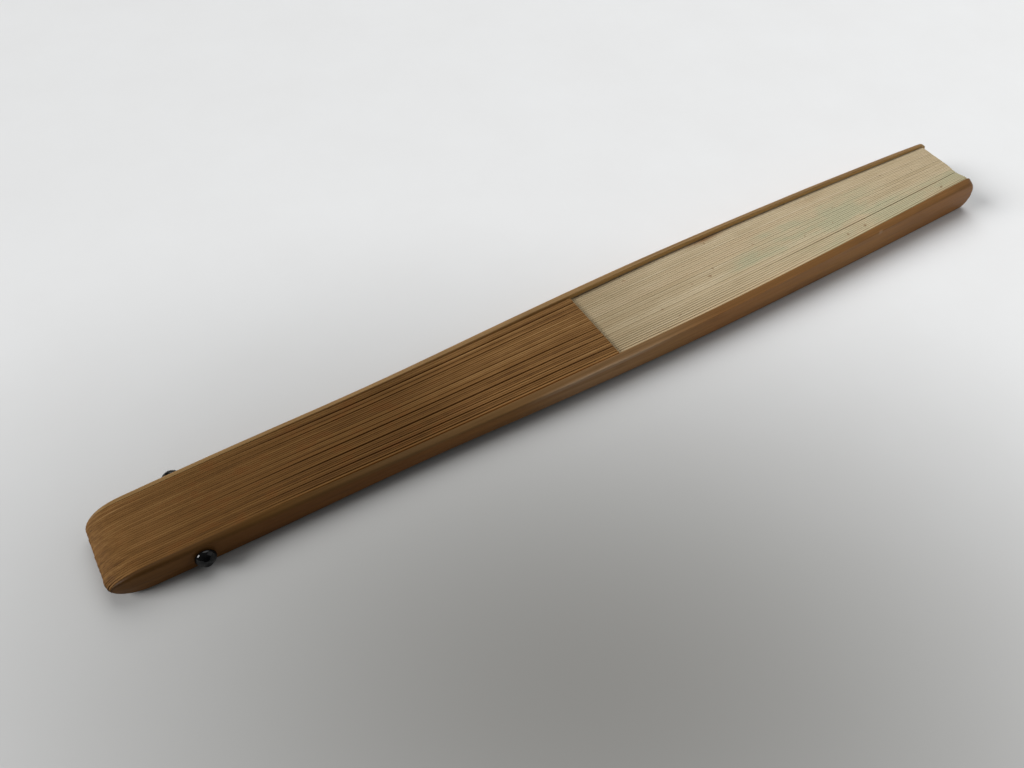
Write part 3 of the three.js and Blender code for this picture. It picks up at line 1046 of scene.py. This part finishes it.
def head_profile(seat):
    """A domed head with a dimple, from its seat on the guard to its middle."""
    reach = seat + HEAD_RISE
    belly = seat + HEAD_BELLY * HEAD_RISE
    points = [(share * HEAD_RADIUS, seat + above) for share, above in HEAD_FOOT]
    for step in range(HEAD_STEPS):
        angle = math.pi / 2 * step / HEAD_STEPS
        radius = HEAD_RADIUS * math.cos(angle)
        if radius > DIMPLE_RADIUS + LIP_WIDTH:
            points.append((radius, belly + (reach - belly) * math.sin(angle)))
    lip = reach - LIP_DROP
    points += [(DIMPLE_RADIUS + outside, lip + above) for outside, above in HEAD_LIP]
    brim = points[-1][1]
    for step in range(1, DIMPLE_STEPS + 1):
        t = step / DIMPLE_STEPS
        points.append((DIMPLE_RADIUS * (1 - t), brim - DIMPLE_DEPTH * math.sin(math.pi / 2 * t)))
    return points


def pivot():
    seat = float(guard_inner(0.0)) + float(guard_thick(0.0)) + GUARD_CROWN + HEAD_GAP
    end = seat + CAP_DEPTH - CAP_CLEAR
    head = [(radius, -height) for radius, height in head_profile(seat)][::-1]
    shaft = [(PIN_RADIUS, -seat)]
    shaft += [(PIN_RADIUS - inset, end - before) for inset, before in PIN_RIM]
    pin = turned("black_pin", head + shaft + [(0.0, end)])
    finish_shading(pin, PIVOT_SHARP)
    dress(pin, BLACK, "near_side", "pivot", "pivot_pin")
    socket = PIN_RADIUS + CAP_CLEAR
    bore = [(0.0, seat + CAP_DEPTH), (socket, seat + CAP_DEPTH), (socket, seat)]
    cap = turned("black_cap", bore + head_profile(seat))
    finish_shading(cap, PIVOT_SHARP)
    dress(cap, BLACK, "near_side", "pivot", "pivot_cap")


guard("near_guard", -1, "near_side")
guard("far_guard", 1, "far_guard")
pivot()
for number in range(1, RIB_COUNT + 1):
    rib(number)
    rib_panel(number, f"rib_{number:02d}")
rib_panel(LAST, "far_guard")
for number in range(RIB_COUNT):
    far_panel(number)
far_panel(RIB_COUNT)


# Floor, light and camera

def floor():
    mesh = bpy.data.meshes.new("floor")
    corners = [(-1, -1), (1, -1), (1, 1), (-1, 1)]
    points = [(x * FLOOR_HALF, y * FLOOR_HALF, -FLOOR_DROP) for x, y in corners]
    mesh.from_pydata(points, [], [(0, 1, 2, 3)])
    obj = bpy.data.objects.new("floor", mesh)
    mesh.materials.append(FLOOR)
    bpy.context.scene.collection.objects.link(obj)


def hung(name, light, place):
    """Puts a light at its place, facing the middle of the fan."""
    obj = bpy.data.objects.new(name, light)
    obj.location = place
    obj.rotation_euler = (-Vector(place)).to_track_quat("-Z", "Y").to_euler()
    bpy.context.scene.collection.objects.link(obj)


def window(name, place, width, level):
    """Light from a wide window far away: even over the whole floor, with soft shadows."""
    light = bpy.data.lights.new(name, "SUN")
    light.angle = math.radians(width)
    light.energy = level
    hung(name, light, place)


def lamp(name, place, size, power):
    """A square soft light near the fan."""
    light = bpy.data.lights.new(name, "AREA")
    light.shape = "SQUARE"
    light.size = size
    light.energy = power
    hung(name, light, place)


def sky():
    """Soft light from all round, brighter from behind the fan and dimmer from the camera's side."""
    world = bpy.data.worlds.new("studio")
    world.use_nodes = True
    tree = world.node_tree
    direction = add(tree, "ShaderNodeTexCoord").outputs["Generated"]
    facing = add(tree, "ShaderNodeVectorMath", {0: direction, 1: SKY_BRIGHT}, operation="DOT_PRODUCT")
    background = tree.nodes["Background"]
    background.inputs["Color"].default_value = SKY_COLOUR
    level = scaled(tree, facing.outputs["Value"], *SKY_FACING, *SKY_LEVELS)
    seen = add(tree, "ShaderNodeLightPath").outputs["Is Camera Ray"]
    tree.links.new(scaled(tree, seen, 0.0, 1.0, level, SKY_SEEN), background.inputs["Strength"])
    bpy.context.scene.world = world


def camera():
    a = math.radians(CAMERA_AZIMUTH)
    e = math.radians(CAMERA_ELEVATION)
    r = math.radians(CAMERA_ROLL)
    back = Vector((math.sin(a) * math.cos(e), -math.cos(a) * math.cos(e), math.sin(e)))
    right = (-back).cross(Vector((0, 0, 1))).normalized()
    up = right.cross(-back)
    turned_right = math.cos(r) * right + math.sin(r) * up
    turned_up = math.cos(r) * up - math.sin(r) * right
    data = bpy.data.cameras.new("camera")
    data.sensor_fit = "HORIZONTAL"
    data.sensor_width = SENSOR_WIDTH
    data.lens = CAMERA_FOCAL_PIXELS / IMAGE_WIDTH * SENSOR_WIDTH
    data.clip_start = CAMERA_CLIP_START
    obj = bpy.data.objects.new("camera", data)
    rows = Matrix((turned_right, turned_up, back)).transposed().to_4x4()
    obj.matrix_world = Matrix.Translation(Vector(CAMERA_PLACE) / MM_PER_METRE) @ rows
    bpy.context.scene.collection.objects.link(obj)
    bpy.context.scene.camera = obj


floor()
window("back_window", place=(0.5, 0.84, 1.2), width=54, level=1.43)
window("left_window", place=(-2.4, 0.8, 1.4), width=28, level=2.88)
lamp("fill", place=(0.36, -0.17, 0.26), size=0.5, power=0.47)
sky()
camera()
bpy.context.scene.view_settings.view_transform = "Standard"
